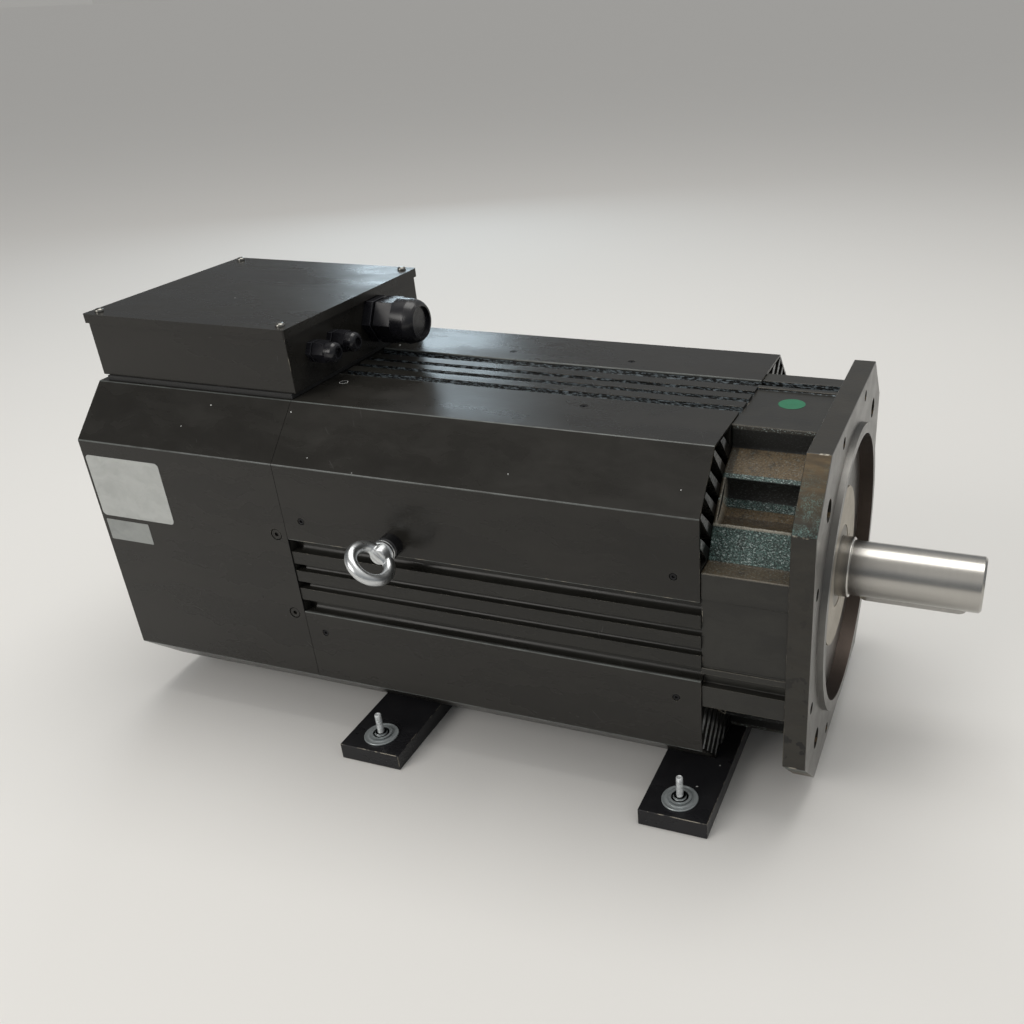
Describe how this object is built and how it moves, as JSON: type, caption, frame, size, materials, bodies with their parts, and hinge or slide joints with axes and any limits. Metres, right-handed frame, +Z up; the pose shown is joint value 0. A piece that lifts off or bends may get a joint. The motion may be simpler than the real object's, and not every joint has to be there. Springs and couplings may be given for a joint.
{
  "type": "spindle servo motor",
  "caption": "Square-flanged spindle servo motor with a fan-cooled octagonal body, keyed shaft, junction box, lifting eye and foot bars.",
  "frame": {"origin": "where the shaft axis meets the front face of the mounting flange", "axes": "+X out along the shaft, +Z up through the junction box, +Y away from the side that carries the lifting eye"},
  "size_m": [0.7787, 0.39, 0.3761],
  "materials": {
    "cast_black": "coarse black paint over cast iron, machined on the flange face",
    "frame_black": "satin black, grooved bands",
    "sheet_black": "satin black powder coat with a light orange peel",
    "shaft_steel": "ground",
    "key_steel": "bright drawn",
    "cap_metal": "machined",
    "seal_rubber": "matt",
    "bearing_steel": "polished",
    "lamination": "stacked electrical sheet",
    "cage_aluminium": "cast",
    "copper_winding": "varnished copper wire",
    "zinc": "zinc plated",
    "spacer_black": "matt",
    "screw_black": "black oxide",
    "screw_bright": "zinc plated",
    "nylon_black": "moulded",
    "terminal_plastic": "moulded",
    "terminal_brass": "turned",
    "foot_black": "satin black, chipped at the ends",
    "encoder_metal": "anodised",
    "fan_metal": "satin black",
    "fan_plastic": "moulded",
    "fan_steel": "ground"
  },
  "bodies": {
    "housing": {"front_bracket": "cast_black", "rear_bearing_shield": "cast_black", "stator_frame": "frame_black", "cover_top_near": "sheet_black", "cover_top_far": "sheet_black", "cover_bottom_near": "sheet_black", "cover_bottom_far": "sheet_black", "rear_cover": "sheet_black", "junction_box": "sheet_black", "box_lid": "sheet_black", "front_bearing_cap": "cap_metal", "shaft_seal": "seal_rubber", "box_gasket": "seal_rubber", "lead_grommet": "seal_rubber", "front_bearing_outer_ring": "bearing_steel", "rear_bearing_outer_ring": "bearing_steel", "stator_core": "lamination", "stator_winding": "copper_winding", "eye_bolt": "zinc", "foot_studs": "zinc", "foot_washers": "zinc", "eye_spacer": "spacer_black", "cover_screws": "screw_black", "rear_cover_screws": "screw_black", "shield_screws": "screw_black", "foot_screws": "screw_black", "lid_screws": "screw_bright", "power_gland_body": "nylon_black", "power_gland_cap": "nylon_black", "power_gland_plug": "nylon_black", "signal_gland_near_body": "nylon_black", "signal_gland_near_cap": "nylon_black", "signal_gland_near_plug": "nylon_black", "signal_gland_far_body": "nylon_black", "signal_gland_far_cap": "nylon_black", "signal_gland_far_plug": "nylon_black", "terminal_block": "terminal_plastic", "terminal_studs": "terminal_brass", "foot_bar_front": "foot_black", "foot_bar_rear": "foot_black", "encoder_flange": "encoder_metal", "encoder_housing": "encoder_metal", "fan_frame": "fan_metal", "fan_motor": "fan_metal", "fan_guard": "fan_metal"},
    "rotor": {"shaft": "shaft_steel", "shaft_key": "key_steel", "rotor_core": "lamination", "rotor_cage": "cage_aluminium", "front_bearing_inner_ring": "bearing_steel", "front_bearing_balls": "bearing_steel", "rear_bearing_inner_ring": "bearing_steel", "rear_bearing_balls": "bearing_steel", "encoder_hub": "encoder_metal"},
    "fan": {"fan_impeller": "fan_plastic", "fan_shaft": "fan_steel"}
  },
  "joints": [
    {"name": "rotor_spin", "type": "hinge", "parent": "housing", "child": "rotor", "pos_m": [0, 0, 0], "axis": [1, 0, 0], "continuous": true},
    {"name": "fan_spin", "type": "hinge", "parent": "housing", "child": "fan", "pos_m": [-0.63, 0, 0], "axis": [1, 0, 0], "continuous": true}
  ]
}
